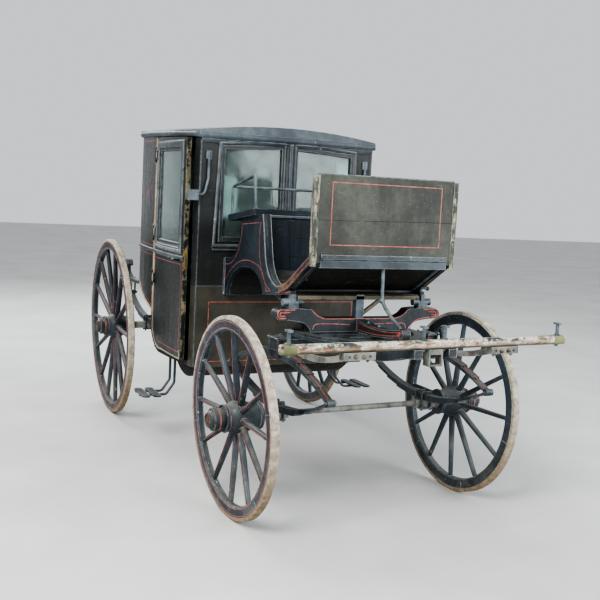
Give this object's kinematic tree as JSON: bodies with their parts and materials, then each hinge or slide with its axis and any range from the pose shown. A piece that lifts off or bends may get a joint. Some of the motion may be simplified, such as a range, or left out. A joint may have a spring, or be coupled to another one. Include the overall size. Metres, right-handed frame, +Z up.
{
  "type": "coupe carriage",
  "caption": "Closed coupe carriage with a driver's boot and splinter bar, wooden spoked wheels, a turntable forecarriage that steers and hinged cab doors.",
  "frame": {"origin": "on the ground under the middle of the whole carriage's box, with the forecarriage turned as in the picture", "axes": "+X forward along the cabin, +Y to the carriage's left, +Z up"},
  "size_m": [3.6938, 1.7324, 2.0269],
  "materials": {
    "body_paint": "satin dark green-black coach paint on wood, worn",
    "frame_paint": "satin dark grey-brown paint on wood, worn",
    "boot_paint": "satin dark blue-grey paint on wood, worn",
    "dash_paint": "dusty olive-grey paint on wood",
    "wheel_paint": "blue-grey paint on wood with red lines, edges worn light",
    "bar_paint": "peeling cream, brown and olive paint on wood",
    "roof_paint": "weathered grey paint on boarded roof",
    "tyre_rubber": "dusty worn solid rubber",
    "iron": "blue-grey painted iron, worn bright at edges",
    "window_glass": "clear flat glass",
    "seat_cloth": "dark buttoned upholstery"
  },
  "bodies": {
    "carriage_body": {"turntable_upper": "iron", "bolster": "wheel_paint", "rear_axle": "iron", "rear_springs": "iron", "cabin_front": "frame_paint", "cabin_back": "body_paint", "cabin_floor": "body_paint", "roof": "roof_paint", "fixed_glass": "window_glass", "seat_cushion": "seat_cloth", "seat_backrest": "seat_cloth", "cabin_quarter_left": "body_paint", "cabin_quarter_right": "body_paint", "boot_side_left": "boot_paint", "boot_side_right": "boot_paint", "boot_box": "boot_paint", "seat_board": "boot_paint", "seat_rail": "iron", "footboard": "dash_paint", "dash": "dash_paint", "boot_irons": "iron", "rear_irons": "iron", "lamp_irons": "iron", "steps": "iron"},
    "forecarriage": {"front_axle": "iron", "front_spring_left": "iron", "front_spring_right": "iron", "futchells": "wheel_paint", "forecarriage_bed": "wheel_paint", "turntable_lower": "iron", "splinter_bar": "bar_paint", "bar_pins": "iron", "bar_irons": "iron"},
    "front_left_wheel": {"tyre_front_left": "tyre_rubber", "wheel_front_left": "wheel_paint"},
    "front_right_wheel": {"tyre_front_right": "tyre_rubber", "wheel_front_right": "wheel_paint"},
    "rear_left_wheel": {"tyre_rear_left": "tyre_rubber", "wheel_rear_left": "wheel_paint"},
    "rear_right_wheel": {"tyre_rear_right": "tyre_rubber", "wheel_rear_right": "wheel_paint"},
    "left_door": {"door_left": "body_paint", "door_glass_left": "window_glass"},
    "right_door": {"door_right": "body_paint", "door_glass_right": "window_glass"}
  },
  "joints": [
    {"name": "steering", "type": "hinge", "parent": "carriage_body", "child": "forecarriage", "pos_m": [1.09954, 0, 0.89984], "axis": [0, 0, 1], "range_deg": [-78.3, 71.7]},
    {"name": "front_left_spin", "type": "hinge", "parent": "forecarriage", "child": "front_left_wheel", "pos_m": [1.06031, 0.68033, 0.5002], "axis": [-0.0575, 0.998, -0.0279], "continuous": true},
    {"name": "front_right_spin", "type": "hinge", "parent": "forecarriage", "child": "front_right_wheel", "pos_m": [1.13877, -0.68033, 0.5002], "axis": [-0.0575, 0.998, 0.0279], "continuous": true},
    {"name": "rear_left_spin", "type": "hinge", "parent": "carriage_body", "child": "rear_left_wheel", "pos_m": [-1.16246, 0.76548, 0.60816], "axis": [0, 0.9996, -0.0279], "continuous": true},
    {"name": "rear_right_spin", "type": "hinge", "parent": "carriage_body", "child": "rear_right_wheel", "pos_m": [-1.16246, -0.76548, 0.60816], "axis": [0, 0.9996, 0.0279], "continuous": true},
    {"name": "left_door_hinge", "type": "hinge", "parent": "carriage_body", "child": "left_door", "pos_m": [-0.60046, 0.63414, 1.29984], "axis": [0, 0, 1], "range_deg": [0, 70]},
    {"name": "right_door_hinge", "type": "hinge", "parent": "carriage_body", "child": "right_door", "pos_m": [-0.60046, -0.63414, 1.29984], "axis": [0, 0, -1], "range_deg": [-4.5, 65.5]}
  ]
}
